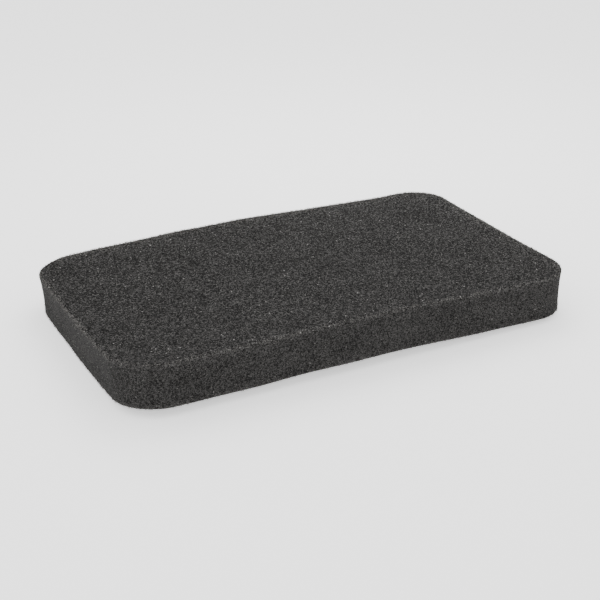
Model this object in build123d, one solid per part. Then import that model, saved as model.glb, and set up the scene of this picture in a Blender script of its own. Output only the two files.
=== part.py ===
from build123d import *
import os

# Foam element of a small engine's flat-panel air filter.
# It is one pad, die cut from a sheet of open-cell foam: a rounded rectangle with
# flat faces, whose cut edge pulls in at mid height, because the foam is squeezed
# under the cutting die and springs back.
# Frame: the origin is the middle of the pad's underside, +X runs along the length,
# +Y across the width and +Z up through the thickness.

# Driving dimensions, in millimetres
length = 200.0         # overall, along X
width = 120.0          # overall, along Y
thickness = 18.5       # of the foam sheet, along Z
corner_radius = 18.0   # of the four corners, seen from above
waist_depth = 0.4      # how far the cut edge pulls in at mid height


def pad_blank():
    """The pad as a plain rounded slab, standing on Z = 0."""
    return extrude(RectangleRounded(length, width, corner_radius), thickness)


def edge_path():
    """The pad's outline at Z = 0, as one closed wire."""
    return RectangleRounded(length, width, corner_radius).face().outer_wire()


def waist_cut():
    """A lens as tall as the pad, carried round the outline; its inner half hollows the edge."""
    path = edge_path()
    across = Plane(origin=path @ 0, x_dir=Vector(0, 0, 1), z_dir=path % 0)
    inner_arc = ThreePointArc((0, 0), (thickness / 2, waist_depth), (thickness, 0))
    outer_arc = ThreePointArc((thickness, 0), (thickness / 2, -waist_depth), (0, 0))
    return sweep(across * make_face(inner_arc + outer_arc), path=path)


def foam_element():
    """The whole pad: the slab less the hollow of its cut edge."""
    pad = pad_blank() - waist_cut()
    pad.label = "foam_element"
    return pad


os.makedirs("parts", exist_ok=True)
export_step(foam_element(), "parts/foam_element.step")
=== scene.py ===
# %% [markdown]
# # A foam element for a small engine's air filter
#
# The object is one pad of charcoal foam. It lies in the air filter box of a mower or a
# generator, and the engine breathes through it. It is polyurethane foam with open cells:
# every cell is a small cage of thin struts, less than half a millimetre across, and its
# windows are gone, so air passes and dust sticks to the struts.
#
# There is nothing to assemble, so all the work is in the surface. From near to far a
# person sees three things: cells cut open, with a lit strut beside a dark hole; a rim
# that is ragged, because a die chopped through the cells; and a pad that is never quite
# flat, because it is soft. Each of them is made here in turn.

# %% Load the frame
import math

import bpy
import numpy as np
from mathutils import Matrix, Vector, geometry, noise


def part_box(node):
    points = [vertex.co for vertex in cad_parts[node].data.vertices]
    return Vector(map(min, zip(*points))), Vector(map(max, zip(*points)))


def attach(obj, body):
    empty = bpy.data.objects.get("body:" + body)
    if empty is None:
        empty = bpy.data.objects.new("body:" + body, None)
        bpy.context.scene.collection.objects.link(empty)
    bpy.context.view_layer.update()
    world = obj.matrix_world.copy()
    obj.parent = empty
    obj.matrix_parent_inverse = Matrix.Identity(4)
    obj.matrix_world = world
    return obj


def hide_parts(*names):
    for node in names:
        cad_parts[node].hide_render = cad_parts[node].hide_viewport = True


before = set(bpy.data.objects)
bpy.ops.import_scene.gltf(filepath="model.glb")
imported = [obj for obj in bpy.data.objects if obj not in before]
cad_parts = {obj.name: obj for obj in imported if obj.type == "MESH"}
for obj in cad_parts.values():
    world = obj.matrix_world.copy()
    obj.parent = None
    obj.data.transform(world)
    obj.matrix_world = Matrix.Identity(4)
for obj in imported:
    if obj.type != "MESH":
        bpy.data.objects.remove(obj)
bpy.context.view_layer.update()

# %% [markdown]
# ## The shape of the cut
#
# Foam comes as a sheet and the pad is stamped out of it. The die squeezes the sheet
# before it cuts, and when the foam springs back, its edge is hollow: the pad is a
# little narrower at mid height than at its two faces.
#
# The outline is a rounded rectangle. One could draw it and extrude it, but then the
# edge is a strip with nothing in it to shape. Here the outline is a function that gives
# evenly spaced points, so that the same few lines make every ring of the pad: a ring is
# the outline, moved inwards by some distance and lifted to some height.

# %% Rings of the outline
MM = 0.001
POINTS_ROUND = 1500

pad_low, pad_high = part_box("foam_element")
length, width, thickness = pad_high - pad_low
corner_radius = 18 * MM


def outline_guides():
    """For each end of a straight or an arc: the way along, the arc's centre and the heading."""
    long_side = length - 2 * corner_radius
    short_side = width - 2 * corner_radius
    quarter = corner_radius * math.pi / 2
    along = np.cumsum([0] + [short_side, quarter, long_side, quarter] * 2)
    centre_x = np.array([1, 1, 1, -1, -1, -1, -1, 1, 1]) * long_side / 2
    centre_y = np.array([-1, 1, 1, 1, 1, -1, -1, -1, -1]) * short_side / 2
    heading = np.array([0, 0, 1, 1, 2, 2, 3, 3, 4]) * math.pi / 2
    return along, centre_x, centre_y, heading


def ring(inset, height, count=POINTS_ROUND, start=0.0):
    """Evenly spaced points of the outline, moved inwards by inset and lifted to this height."""
    along, centre_x, centre_y, heading = outline_guides()
    at = (np.arange(count) + start) / count * along[-1]
    turn = np.interp(at, along, heading)
    reach = corner_radius - inset
    x = np.interp(at, along, centre_x) + reach * np.cos(turn)
    y = np.interp(at, along, centre_y) + reach * np.sin(turn)
    return np.column_stack([x, y, np.full(count, height)])


way_round = outline_guides()[0][-1] / MM
print("The outline is", round(way_round), "mm long, a point every",
      round(way_round / POINTS_ROUND, 2), "mm")

# %% [markdown]
# ## One closed skin
#
# The cut edge and a narrow strip of each face are a neat band of quads: ring upon ring,
# from the underside, round the lower rim, up the hollow edge, round the upper rim and
# onto the top. The rows are half a millimetre apart, because the edge is what the eye
# reads against a pale background, and it has to be able to look ragged.
#
# The middle of each face needs far fewer points. A subdivided box would carry the fine
# spacing right across and be ten times as heavy. A triangulation takes scattered points
# as they come: they start dense beside the band and thin out inwards.

# %% The band of rings
waist_depth, lean_in = 0.4 * MM, 0.15 * MM
rim_round = 1.0 * MM
row_step = 0.5 * MM
strip_insets = np.array([3.4, 2.7, 2.2]) * MM


def wall_inset(height):
    """How far the cut edge stands in from the outline: an arch for its waist, and its lean."""
    share = height / thickness
    return waist_depth * 4 * share * (1 - share) + lean_in * (1 - share)


def half_profile(face_height):
    """Inset and height of each row from a face's strip to the end of its rim."""
    rows = [(inset, face_height) for inset in strip_insets]
    inwards = 1 if face_height == 0 else -1
    steps = round(rim_round * math.pi / 2 / row_step) + 1
    for turn in np.linspace(0, math.pi / 2, steps, endpoint=False):
        height = face_height + inwards * rim_round * (1 - math.cos(turn))
        rows.append((rim_round * (1 - math.sin(turn)) + wall_inset(height), height))
    return rows


def band_profile():
    """Inset and height of every row of the band, from the underside to the top."""
    rows_up = round((thickness - 2 * rim_round) / row_step)
    wall_heights = np.linspace(rim_round, thickness - rim_round, rows_up + 1)
    wall = [(wall_inset(height), height) for height in wall_heights]
    return half_profile(0) + wall + half_profile(thickness)[::-1]


profile = band_profile()
band_points = np.vstack([ring(inset, height) for inset, height in profile])
print("The band has", len(profile), "rings and", len(band_points), "points")

# %% The middle of each face
first_gap, second_gap, honeycomb_gap = 0.8 * MM, 1.9 * MM, 3.1 * MM
face_step = 1.6 * MM
shake = 0.2
INSIDE_THE_LOOP, merge_below = 1, 1e-5


def depth_inside(x, y):
    """Distance from a point of the plan to the pad's outline, positive inside."""
    past_x = np.abs(x) - (length / 2 - corner_radius)
    past_y = np.abs(y) - (width / 2 - corner_radius)
    corner = np.hypot(np.maximum(past_x, 0), np.maximum(past_y, 0))
    return corner_radius - corner - np.minimum(np.maximum(past_x, past_y), 0)


def scattered_points(rng):
    """Points of a face inside the band: two thinning rings, then a shaken honeycomb."""
    strip_end = strip_insets[0]
    first = ring(strip_end + first_gap, 0, POINTS_ROUND // 2, start=0.5)[:, :2]
    second = ring(strip_end + second_gap, 0, POINTS_ROUND // 4, start=0.5)[:, :2]
    columns = np.arange(-length / 2, length / 2, face_step)
    rows = np.arange(-width / 2, width / 2, face_step * math.sqrt(3) / 2)
    x, y = np.meshgrid(columns, rows)
    x[1::2] += face_step / 2
    x = x + rng.uniform(-shake, shake, x.shape) * face_step
    y = y + rng.uniform(-shake, shake, y.shape) * face_step
    kept = depth_inside(x, y) > strip_end + honeycomb_gap
    return np.vstack([first, second, np.column_stack([x[kept], y[kept]])])


def fill_face(rng):
    """A face's inner points and its triangles, numbered with the strip's last ring first."""
    last_ring = ring(strip_insets[0], 0)[:, :2]
    inner = scattered_points(rng)
    loop = [(i, (i + 1) % POINTS_ROUND) for i in range(POINTS_ROUND)]
    plan = [Vector(point / MM) for point in np.vstack([last_ring, inner])]
    found, _, triangles, *_ = geometry.delaunay_2d_cdt(plan, loop, [], INSIDE_THE_LOOP, merge_below)
    assert len(found) == len(plan), "the triangulation merged or added points"
    return inner, np.array([list(triangle) for triangle in triangles])


face_points, face_triangles = fill_face(np.random.default_rng(11))
print("Each face has", len(face_points), "inner points and", len(face_triangles), "triangles")

# %% Sew them together


def band_quads():
    """Corners of the quads between each ring and the next one up."""
    here = np.arange(POINTS_ROUND)
    after = (here + 1) % POINTS_ROUND
    row = np.column_stack([here, after, after + POINTS_ROUND, here + POINTS_ROUND])
    return np.vstack([row + below * POINTS_ROUND for below in range(len(profile) - 1)])


def renumber(triangles, ring_start, inner_start):
    """The face's triangles in the numbers of the whole mesh."""
    on_ring = triangles < POINTS_ROUND
    return np.where(on_ring, triangles + ring_start, triangles - POINTS_ROUND + inner_start)


def new_piece(name, points, faces):
    """A mesh of these points and faces, as an object of the scene."""
    mesh = bpy.data.meshes.new(name)
    mesh.from_pydata(points.tolist(), [], faces)
    mesh.update()
    piece = bpy.data.objects.new(name, mesh)
    bpy.context.collection.objects.link(piece)
    return piece


under_inner = np.column_stack([face_points, np.zeros(len(face_points))])
top_inner = np.column_stack([face_points, np.full(len(face_points), thickness)])
flat_points = np.vstack([band_points, under_inner, top_inner])
under_start = len(band_points)
top_start = under_start + len(face_points)
under_faces = renumber(face_triangles, 0, under_start)[:, ::-1]
top_faces = renumber(face_triangles, under_start - POINTS_ROUND, top_start)

foam_pad = new_piece("foam_pad", flat_points,
                     band_quads().tolist() + under_faces.tolist() + top_faces.tolist())
skin = foam_pad.data
print("foam_pad has", len(skin.vertices), "points and", len(skin.polygons), "faces")

# %% [markdown]
# ## Marks of the cutting
#
# Cutting leaves its marks in three places. Each has a share, from zero to one, that
# says how much of it a point gets:
#
# - *rim* is one on the rims, where the die has torn half of the cells away, and is gone
#   within a millimetre or two;
# - *frayed and backlit* is one on the rim of the top, along the back side and, at three quarters, the
#   right end, and fades over several millimetres of the top; the strut ends grow longer and denser
#   there, and the colour there is painted paler, as painted backlight;
# - *edge* is one on the cut edge and zero on the faces.
#
# One could paint them on the mesh by hand, but a formula of the place follows the
# outline when its sizes change. They stay on the mesh as attributes, because the
# material needs them as well as the shape does.

# %% Rim, frayed and edge shares
rim_reach, frayed_reach = 0.6 * MM, 4.0 * MM
# The frayed and backlit share is strongest at the back side and the right end; there the material
# paints it paler, as painted backlight.
back_and_right_weights = np.array([0.75, 1.0])
edge_slope, face_slope = 0.27, 0.73


def rim_share(points, reach):
    """One on the rims, falling to zero on the faces and on the cut edge."""
    inset = np.maximum(depth_inside(points[:, 0], points[:, 1]) - wall_inset(points[:, 2]), 0)
    lift = np.minimum(points[:, 2], thickness - points[:, 2])
    return np.exp(-np.hypot(inset, lift) / reach)


def back_and_right_share(points):
    """One on the back side, three quarters on the right end, zero on the front and the left end."""
    core_x = np.clip(points[:, 0], corner_radius - length / 2, length / 2 - corner_radius)
    core_y = np.clip(points[:, 1], corner_radius - width / 2, width / 2 - corner_radius)
    outwards = points[:, :2] - np.column_stack([core_x, core_y])
    outwards /= np.maximum(np.linalg.norm(outwards, axis=1, keepdims=True), 1 * MM)
    return np.clip(outwards @ back_and_right_weights, 0, 1)


def up_share(directions):
    """One where the surface faces up, falling fast as it tilts, zero where it faces down."""
    return np.clip(directions[:, 2], 0, 1)**3


normals = np.empty(len(skin.vertices) * 3)
skin.vertex_normals.foreach_get("vector", normals)
normals = normals.reshape(-1, 3)
rim = rim_share(flat_points, rim_reach)
# Frayed and backlit: the strut ends there are longer and denser, and the colour is painted paler as
# painted backlight.
frayed = rim_share(flat_points, frayed_reach) * back_and_right_share(flat_points) * up_share(normals)
edge = np.interp(np.abs(normals[:, 2]), [edge_slope, face_slope], [1, 0])
for name, share in (("rim", rim), ("frayed", frayed), ("edge", edge)):
    skin.attributes.new(name, "FLOAT", "POINT").data.foreach_set("value", share)
    print(round(100 * (share > 0.5).mean(), 1), "% of the points have more than half of", name)

# %% [markdown]
# ## Unevenness
#
# Real foam is uneven at three sizes at once. The sheet has soft swells a few
# centimetres across, from how it was sliced. It has lumps of a few millimetres, where
# some cells blew larger than others. And the cells themselves are cut open, so the
# surface drops into one and rises to the strut beside it.
#
# One could sculpt this, or leave it to a displacement in the material, which other
# programs would lose. Here each size is a noise with its own step and height, and moves
# the points themselves along the surface's normal. The cell noise is a Voronoi one: its
# distance is zero at a cell's heart and greatest at the wall between two cells, which
# is how a cut cell is shaped. It is highest along the rims.

# %% Swells, lumps and cells
swell_step, swell_height = 24 * MM, 0.30 * MM
lump_step, lump_height = 3.2 * MM, 0.02 * MM
face_cell, edge_cell = 0.43 * MM, 0.34 * MM
cell_height, rim_cell_height = 0.08 * MM, 0.22 * MM
usual_distance = 0.45


def heart_distance(point):
    """Distance to the heart of the nearest cell, in cells."""
    return noise.voronoi(point / face_cell)[0][0]


def relief(points, near_rim):
    """How far each point moves along its normal."""
    swell = np.array([noise.noise(Vector(point) / swell_step) for point in points])
    lump = np.array([noise.noise(Vector(point) / lump_step) for point in points])
    wall = np.array([heart_distance(Vector(point)) for point in points]) - usual_distance
    wall_height = cell_height + (rim_cell_height - cell_height) * near_rim
    return swell * swell_height + lump * lump_height + wall * wall_height


moved = relief(flat_points, rim)
uneven_points = flat_points + normals * moved[:, None]
print("The relief runs from", round(moved.min() / MM, 2), "to", round(moved.max() / MM, 2), "mm")

# %% [markdown]
# ## A pad that doesn't lie flat
#
# Foam comes off a roll and is packed in a bag, and it remembers both. Here both ends
# hang and their tips curl up again, the long sides lift a little, and the left end is
# drawn out, most of all along its upper rim. A physical simulation would have to be
# talked into exactly this, and a lattice would have to be dragged, so a short
# polynomial of the place along and across the pad is easier: every term is one bend
# that a hand could put into the foam, and its height is the bend's size at an end, a
# side or a corner.
#
# Bending pushes the ends below the table, so at last the whole pad is raised, until its
# lowest point lies on it.

# %% Bend it and lay it on the table
ends_drop, ends_curl, right_lift = 4.1 * MM, 2.95 * MM, 0.5 * MM
sides_lift, far_side_drop = 1.3 * MM, 0.8 * MM
corner_twist, ends_tilt, left_cup = 0.95 * MM, 0.5 * MM, 0.75 * MM
left_stretch, left_lean = 1.0 * MM, 1.1 * MM


def bend(points):
    """How far each part of the pad stands above a flat one, by its place along and across."""
    along = points[:, 0] / (length / 2)
    across = points[:, 1] / (width / 2)
    bow = -ends_drop * along**2 + ends_curl * along**4 + right_lift * along**3
    cup = sides_lift * across**2 - far_side_drop * across**3
    twist = corner_twist * along**3 * across
    tilt = -ends_tilt * along**2 * across - left_cup * along * across**2
    return bow + cup + twist + tilt


def draw_out(points):
    """How far each part of the left half is drawn out to the left."""
    left_share = np.maximum(-points[:, 0] / (length / 2), 0)
    return left_share**2 * (left_stretch + left_lean * points[:, 2] / thickness)


uneven_points[:, 2] += bend(flat_points)
uneven_points[:, 0] -= draw_out(flat_points)
raised = -uneven_points[:, 2].min()
uneven_points[:, 2] += raised
skin.vertices.foreach_set("co", uneven_points.ravel())
skin.shade_smooth()
skin.update()
print("The pad was raised by", round(raised / MM, 2), "mm, and its highest point is at",
      round(uneven_points[:, 2].max() / MM, 2), "mm")

# %% [markdown]
# ## Open cells as a material
#
# At less than half a millimetre a cell is too small to model one by one over the whole
# pad, and too visible to leave out. So the cells are in the material, in three
# dimensions: the pattern runs through the pad like the cells do, with no seam where a
# face meets the cut edge. An image wrapped round the pad would have one.
#
# A material is a net of nodes, and its code soon hides what it says. So a small class
# comes first, with one short word for each thing that the two finishes need.

# %% Short ways to add nodes
noise_lows, noise_highs = 0.3, 0.7


class Finish:
    """A new material, with short ways to add nodes to it."""

    def __init__(self, name):
        self.material = bpy.data.materials.new(name)
        self.material.use_nodes = True
        self.tree = self.material.node_tree
        self.shader = self.tree.nodes["Principled BSDF"]
        self.place = self.add("TexCoord").outputs["Object"]

    def feed(self, socket, value):
        """Links an output into a socket, or sets a plain value on it."""
        if isinstance(value, bpy.types.NodeSocket):
            self.tree.links.new(value, socket)
        else:
            socket.default_value = value

    def add(self, kind, settings=None, **inputs):
        """A new shader node, with its settings and its named inputs filled in."""
        node = self.tree.nodes.new("ShaderNode" + kind)
        for name, value in (settings or {}).items():
            setattr(node, name, value)
        for name, value in inputs.items():
            self.feed(node.inputs[name.replace("_", " ")], value)
        return node

    def share(self, name):
        """A share that is stored on the mesh."""
        return self.add("Attribute", {"attribute_name": name}).outputs["Fac"]

    def math(self, operation, *values):
        """A product, sum or other operation of values."""
        node = self.add("Math", {"operation": operation})
        for socket, value in zip(node.inputs, values):
            self.feed(socket, value)
        return node.outputs["Value"]

    def blend(self, share, none, whole):
        """none where share is 0, whole where it is 1."""
        node = self.add("Mix", {"data_type": "FLOAT"})
        for place, value in ((0, share), (2, none), (3, whole)):
            self.feed(node.inputs[place], value)
        return node.outputs[0]

    def ramp(self, value, start, end, to_start=0.0, to_end=1.0):
        """The value's way from start to end, eased, as a number from to_start to to_end."""
        node = self.add("MapRange", {"interpolation_type": "SMOOTHSTEP"}, Value=value,
                        From_Min=start, From_Max=end, To_Min=to_start, To_Max=to_end)
        return node.outputs["Result"]

    def cells(self, size, shift, feature):
        """A Voronoi texture of cells of this size, moved by some cells."""
        moved = self.add("VectorMath", {"operation": "ADD"})
        self.feed(moved.inputs[0], self.place)
        self.feed(moved.inputs[1], (shift * size,) * 3)
        return self.add("TexVoronoi", {"feature": feature},
                        Vector=moved.outputs["Vector"], Scale=1 / size)

    def chance(self, cells):
        """A number from 0 to 1 for each cell of a Voronoi texture."""
        return self.add("SeparateColor", Color=cells.outputs["Color"]).outputs["Red"]

    def noise(self, size, detail, low, high):
        """A soft noise from low to high, whose swells are this far apart."""
        texture = self.add("TexNoise", Vector=self.place, Scale=1 / size, Detail=detail)
        return self.ramp(texture.outputs["Fac"], noise_lows, noise_highs, low, high)

    def dye(self, light, colour):
        """Feeds the shader this colour, scaled by light."""
        scaled = self.add("VectorMath", {"operation": "SCALE"}, Scale=light)
        self.feed(scaled.inputs[0], colour)
        self.feed(self.shader.inputs["Base Color"], scaled.outputs["Vector"])


words = [word for word in vars(Finish) if not word.startswith("_")]
print("A Finish can", ", ".join(words))

# %% [markdown]
# ### Struts and holes
#
# A Voronoi texture set to *distance to edge* is near zero along the borders between cells. Those
# borders are the struts. A second one, shifted, stands for the next layer of struts, seen down in the
# dark, and its struts are painted dim, as painted shade. What is neither is a hole, painted nearly
# black: painted shade for the dark inside the foam.
#
# The faces were sliced and the edge was chopped, and that shows. The blade dragged the cells of the
# faces open, one more than the other, so a few struts there are bright and most are dull. The die
# squeezed the cells of the edge, so those are smaller and more alike. How bright the edge's cells are
# is set apart from the faces', and that part is painted light: it makes up for light that falls
# differently on the cut edge and on the top. One function makes both: it raises each cell's chance to a
# power, and a high power leaves few bright ones.

# %% Layers of cells
# Painted shade: the holes are nearly black and the deep struts dim in the colour, for the dark inside
# the foam.
painted_hole_shade, painted_deep_shade = 0.005, 0.04
front_border, front_heart = 0.06, 0.24
deep_border, deep_heart = 0.05, 0.20
deep_shift = 3.3
dullest_share = 0.08
deep_height = 0.35


def cell_layers(foam, size, front_light, power):
    """Light and height of cells of this size: front struts, and deep struts and holes in painted shade.
    """
    front_cells = foam.cells(size, 0, "DISTANCE_TO_EDGE")
    front = foam.ramp(front_cells.outputs["Distance"], front_heart, front_border)
    deep_cells = foam.cells(size, deep_shift, "DISTANCE_TO_EDGE")
    deep = foam.ramp(deep_cells.outputs["Distance"], deep_heart, deep_border)
    openness = foam.math("POWER", foam.chance(foam.cells(size, 0, "F1")), power)
    # The inside of a cell is painted shade: dim deep struts over nearly black holes.
    inside = foam.math("MULTIPLY", foam.blend(deep, painted_hole_shade, painted_deep_shade), openness)
    strut = foam.math("MULTIPLY_ADD", openness, front_light, dullest_share * front_light)
    return foam.blend(front, inside, strut), foam.math("MULTIPLY_ADD", deep, deep_height, front)


print("A cell is", face_cell / MM, "mm on the faces and", edge_cell / MM, "mm on the edge")

# %% [markdown]
# ### The finish of the foam
#
# The foam is dyed right through, so its colour is one charcoal, faintly warm. What varies is how much
# light gets in. Struts on a rim get light from two sides, so the rims are painted paler, as painted
# light. Along the frayed rims at the back side and the right end the top is painted paler for some way
# in, as painted backlight. A few cells keep a scrap of window, a film that shines, and those are the
# tiny sparks on the surface: painted glints, bright dots in the colour. Two soft noises, one of a few
# millimetres and one of two centimetres, keep the pad from looking even.

# %% Open-cell foam
charcoal = (1.03, 1.0, 0.97)
# The edge's strut light and power differ from the faces' partly as painted light, for how light falls
# on the cut edge and on the top.
face_light, edge_light = 0.135, 0.088
face_power, edge_power = 3, 1.3
# Painted light: these gains paint the rims paler, and the frayed rims at the back side and the right
# end paler still, as painted backlight.
painted_rim_gain, frayed_gain = 1.1, 0.9
# Painted glints: the sparks are bright dots painted into the colour, where a scrap of window would
# shine.
spark_step, spark_shift, spark_size = 2.0 * MM, 7.7, 0.17
painted_glint_light, painted_edge_glint_light = 0.38, 0.15
spark_chance = 0.7
mottle_step, drift_step = 2.6 * MM, 18 * MM
strut_height = 0.16 * MM


def painted_glints(foam, on_edge):
    """Painted glints off the scraps of window: a bright dot in the colour, in those cells that chance
    picks.
    """
    spark_cells = foam.cells(spark_step, spark_shift, "F1")
    dot = foam.ramp(spark_cells.outputs["Distance"], spark_size, spark_size / 2)
    picked = foam.ramp(foam.chance(spark_cells), spark_chance, 1.0)
    light = foam.blend(on_edge, painted_glint_light, painted_edge_glint_light)
    return foam.math("MULTIPLY", foam.math("MULTIPLY", dot, picked), light)


def foam_finish():
    """The material of the pad."""
    foam = Finish("open_cell_foam")
    on_edge = foam.share("edge")
    face_surface, face_height = cell_layers(foam, face_cell, face_light, face_power)
    edge_surface, edge_height = cell_layers(foam, edge_cell, edge_light, edge_power)
    surface = foam.blend(on_edge, face_surface, edge_surface)

    mottle = foam.noise(mottle_step, 3, 0.98, 1.02)
    drift = foam.noise(drift_step, 1, 0.96, 1.04)
    # Painted light: the rims are painted paler, for struts lit from two sides.
    painted_rim_light = foam.blend(foam.share("rim"), 1.0, 1 + painted_rim_gain)
    # Painted backlight: the frayed rims at the back side and the right end are painted paler for some
    # way in.
    gain = foam.math("MULTIPLY_ADD", foam.share("frayed"), frayed_gain, painted_rim_light)
    lit = foam.math("MULTIPLY", foam.math("MULTIPLY", surface, gain),
                    foam.math("MULTIPLY", mottle, drift))
    # The painted glints are added to the colour.
    foam.dye(foam.math("ADD", lit, painted_glints(foam, on_edge)), charcoal)

    bump = foam.add("Bump", Height=foam.blend(on_edge, face_height, edge_height), Distance=strut_height)
    foam.feed(foam.shader.inputs["Normal"], bump.outputs["Normal"])
    foam.shader.inputs["Roughness"].default_value = 0.85
    foam.shader.inputs["Specular IOR Level"].default_value = 0.04
    return foam.material


skin.materials.append(foam_finish())
print("The pad wears", skin.materials[0].name)

# %% [markdown]
# ## Cut strut ends
#
# Where the die and the slicing blade have passed, half cells stand open: short strut
# ends, and small arches where two struts still meet. They are about as thick as a hair.
# One by one nobody sees them, but together they make the outline of foam soft, and
# light passes between them.
#
# Hair particles would be lost outside Blender, and would all be single spikes. Here a
# strut is a three-sided tube along three points, closed at both ends, and thousands of
# them are one mesh. They grow from faces of the pad, picked by chance, and faces near a
# rim are picked far more often.

# %% Where struts grow
STRUT_COUNT = 14000
rim_crowding = 220


def face_facts():
    """Centre, normal, area, rim share and frayed share of every face of the pad."""
    count = len(skin.polygons)
    centres, directions, areas = np.empty(count * 3), np.empty(count * 3), np.empty(count)
    skin.polygons.foreach_get("center", centres)
    skin.polygons.foreach_get("normal", directions)
    skin.polygons.foreach_get("area", areas)
    first_corner = np.empty(count, dtype=int)
    skin.polygons.foreach_get("loop_start", first_corner)
    corners = np.empty(len(skin.loops), dtype=int)
    skin.loops.foreach_get("vertex_index", corners)
    first = corners[first_corner]
    return centres.reshape(-1, 3), directions.reshape(-1, 3), areas, rim[first], frayed[first]


def pick_roots(rng):
    """Root, normal and frayed share of every strut."""
    centres, directions, areas, near_rim, near_frayed = face_facts()
    chance = areas * (1 + rim_crowding * (near_rim**2 + near_frayed**4))
    picked = rng.choice(len(areas), STRUT_COUNT, p=chance / chance.sum())
    return centres[picked], directions[picked], near_frayed[picked]


strut_rng = np.random.default_rng(5)
roots, root_normals, root_frayed = pick_roots(strut_rng)
on_top = (roots[:, 2] > thickness / 2) & (root_normals[:, 2] > 0.5)
print(STRUT_COUNT, "struts,", on_top.sum(), "of them on the top and its rim")

# %% [markdown]
# Each strut is three points: its root, a little under the surface so that no gap shows,
# a knee, and a tip. A stub's tip stands free and leans somewhere. An arch's tip is back
# under the surface, a cell away. A strut that would reach into the table is left out.

# %% Lines of the struts
strut_radius, root_depth = 0.055 * MM, 0.12 * MM
shortest, longest, frayed_extra = 0.20 * MM, 0.60 * MM, 1.2
most_lean = 0.8
knee_rise, knee_lean, arch_rise = 0.5, 0.3, 0.8
arch_share = 0.45
narrowest, widest = 0.35 * MM, 0.65 * MM
thickness_spread = 0.3
taper = np.array([1.2, 0.8, 0.95])


def unit(vectors):
    """The same directions, each of length one."""
    return vectors / np.linalg.norm(vectors, axis=-1, keepdims=True)


def strut_lines(rng, root, up, near_frayed):
    """Three points along every strut, their radii, and the strut's frayed share."""
    each = (len(root), 1)
    aside = unit(np.cross(up, rng.normal(size=up.shape)))
    lean = rng.uniform(-most_lean, most_lean, each)
    reach = rng.uniform(shortest, longest, each) * (1 + frayed_extra * near_frayed[:, None]**2)
    arch = rng.random(each) < arch_share
    span = rng.uniform(narrowest, widest, each)
    thick = rng.uniform(1 - thickness_spread, 1 + thickness_spread, each) * strut_radius

    start = root - up * root_depth
    arch_knee = root + up * reach * arch_rise + aside * span / 2
    stub_knee = root + up * reach * knee_rise + aside * reach * lean * knee_lean
    arch_tip = start + aside * span
    stub_tip = root + up * reach + aside * reach * lean
    lines = np.stack([start, np.where(arch, arch_knee, stub_knee),
                      np.where(arch, arch_tip, stub_tip)], axis=1)
    radii = thick * taper
    above_table = (lines[:, :, 2] - radii).min(axis=1) > 0
    return lines[above_table], radii[above_table], near_frayed[above_table]


lines, radii, strut_frayed = strut_lines(strut_rng, roots, root_normals, root_frayed)
print(len(lines), "struts are kept, and their mean radius is", round(radii.mean() / MM, 3), "mm")

# %% Tubes along the lines
SIDES = 3
askew = [0.31, 0.53, 0.79]


def tubes(lines, radii):
    """Points and faces of a closed three-sided tube along each line."""
    count, steps, _ = lines.shape
    along = unit(lines[:, -1] - lines[:, 0])
    side = unit(np.cross(along, askew))
    other = np.cross(along, side)
    turns = np.arange(SIDES)[:, None] / SIDES * 2 * math.pi
    spokes = side[:, None] * np.cos(turns) + other[:, None] * np.sin(turns)
    points = lines[:, :, None] + spokes[:, None] * radii[:, :, None, None]
    wall = []
    for step in range(steps - 1):
        low, high = step * SIDES, (step + 1) * SIDES
        for i in range(SIDES):
            j = (i + 1) % SIDES
            wall.append([low + i, low + j, high + j, high + i])
    last = (steps - 1) * SIDES
    caps = [[2, 1, 0], [last, last + 1, last + 2]]
    starts = (np.arange(count) * steps * SIDES)[:, None, None]
    quads = (np.array(wall) + starts).reshape(-1, 4)
    triangles = (np.array(caps) + starts).reshape(-1, 3)
    return points.reshape(-1, 3), quads.tolist() + triangles.tolist()


strut_points, strut_faces = tubes(lines, radii)
strut_ends = new_piece("cut_strut_ends", strut_points, strut_faces)
strut_mesh = strut_ends.data
frayed_values = np.repeat(strut_frayed, len(strut_points) // len(lines))
strut_mesh.attributes.new("frayed", "FLOAT", "POINT").data.foreach_set("value", frayed_values)
strut_mesh.shade_smooth()
print("cut_strut_ends has", len(strut_points), "points and", len(strut_faces), "faces")

# %% [markdown]
# ### The finish of a strut
#
# A strut is the same dyed polyurethane as the pad, but it stands out in the light, and it is a solid
# thread, so it is paler and shinier than the foam behind it. One noise makes some of them duller than
# others, and another makes some shinier. Those on a frayed rim, at the back side and the right end,
# stand furthest out, and they are painted palest, as painted backlight.

# %% Bare polyurethane
bare = (1.06, 1.0, 0.92)
dull_strut, bright_strut = 0.05, 0.18
shiny_strut, rough_strut = 0.35, 0.7
tone_step, gloss_step = 0.9 * MM, 1.7 * MM
# Painted backlight: struts on the frayed rims at the back side and the right end are painted paler.
frayed_strut_gain = 0.4


def strut_finish():
    """The material of the cut strut ends."""
    strut = Finish("bare_polyurethane")
    tone = strut.noise(tone_step, 1, dull_strut, bright_strut)
    # Painted backlight: paler struts along the frayed rims at the back side and the right end.
    gain = strut.blend(strut.share("frayed"), 1.0, 1 + frayed_strut_gain)
    strut.dye(strut.math("MULTIPLY", tone, gain), bare)
    gloss = strut.noise(gloss_step, 0, shiny_strut, rough_strut)
    strut.feed(strut.shader.inputs["Roughness"], gloss)
    return strut.material


strut_mesh.materials.append(strut_finish())
print("The strut ends wear", strut_mesh.materials[0].name)

# %% [markdown]
# ## What belongs to what
#
# Both pieces are the one foam element: they stand for its solid and move with it.

# %% Tie the pieces to the part
for piece in (foam_pad, strut_ends):
    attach(piece, "root")
    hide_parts("foam_element")
print("Pieces:", foam_pad.name, strut_ends.name)

# %% [markdown]
# ## Table and light
#
# A dark object on a pale table under a wide, even sky is how such parts are shown. The
# table glows by itself, as a light table does, so that the pad hardly shades it. The
# sky is the world's own plain light. One weak lamp on the left gives the foam a
# direction, so that its grain is seen, and a smaller one hangs over the far corner and
# lifts the frayed rims.

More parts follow.
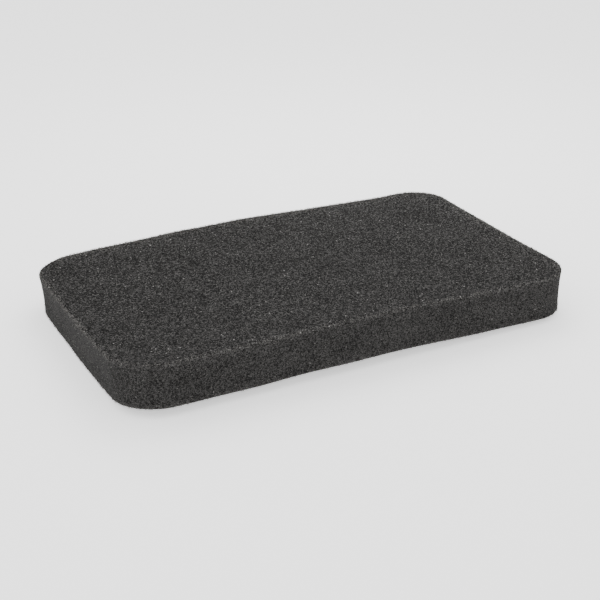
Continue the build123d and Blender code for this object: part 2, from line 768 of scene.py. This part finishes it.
# %% Table
table_half = 4.0
table_corners = np.array([(-1, -1, 0), (1, -1, 0), (1, 1, 0), (-1, 1, 0)]) * table_half
table = new_piece("table", table_corners, [(0, 1, 2, 3)])
white, pale = (1, 1, 1, 1), (0.95, 0.95, 0.95, 1)
table_finish = Finish("pale_table")
table_finish.shader.inputs["Base Color"].default_value = pale
table_finish.shader.inputs["Roughness"].default_value = 0.9
table_finish.shader.inputs["Emission Color"].default_value = white
table_finish.shader.inputs["Emission Strength"].default_value = 0.8
table.data.materials.append(table_finish.material)
print("The table is", 2 * table_half, "m across")

# %% Sky and lamps
sky = bpy.data.worlds.new("even_sky")
sky.use_nodes = True
sky_light = sky.node_tree.nodes["Background"]
sky_light.inputs["Color"].default_value = white
sky_light.inputs["Strength"].default_value = 1.6
bpy.context.scene.world = sky


def soft_lamp(name, place, aim, size, power):
    """A square lamp of this size in metres and power in watts, at place, facing aim."""
    lamp = bpy.data.lights.new(name, "AREA")
    lamp.size, lamp.energy = size, power
    holder = bpy.data.objects.new(name, lamp)
    holder.location = place
    holder.rotation_euler = (Vector(aim) - Vector(place)).to_track_quat("-Z", "Y").to_euler()
    bpy.context.collection.objects.link(holder)
    return holder


lamps = [soft_lamp("key", (-0.7, -0.1, 0.5), (0, 0, 0), 0.6, 1.2),
         soft_lamp("top", (0.12, 0.16, 0.30), (0.08, 0.06, 0), 0.25, 0.7)]
print("One sky and", len(lamps), "lamps")

# %% [markdown]
# ## Camera
#
# Seen from straight above, the pad is only its outline, and from table height it is only
# its edge. From a little above and turned, its top, its front and its left end all show,
# and a long lens keeps its sides nearly parallel. The camera could be placed by hand in
# the viewport, but then it would miss a pad of another size. So it aims near the middle
# of the pad and stands back by a multiple of the pad's own length.

# %% Camera
camera_turn, camera_rise = math.radians(-27.2), math.radians(25.2)
camera_distance = 2.54 * length
aim = Vector((-0.025 * length, -0.037 * length, 0.34 * thickness + raised))
back = Vector((math.sin(camera_turn) * math.cos(camera_rise),
               -math.cos(camera_turn) * math.cos(camera_rise), math.sin(camera_rise)))
lens = bpy.data.cameras.new("camera")
lens.lens, lens.sensor_width = 72, 36
camera = bpy.data.objects.new("camera", lens)
camera.location = aim + back * camera_distance
camera.rotation_euler = back.to_track_quat("Z", "Y").to_euler()
bpy.context.collection.objects.link(camera)
bpy.context.scene.camera = camera
print("The camera stands", round(camera_distance, 3), "m away")

# %% [markdown]
# The pad may not outgrow the part it stands for by more than soft foam can.
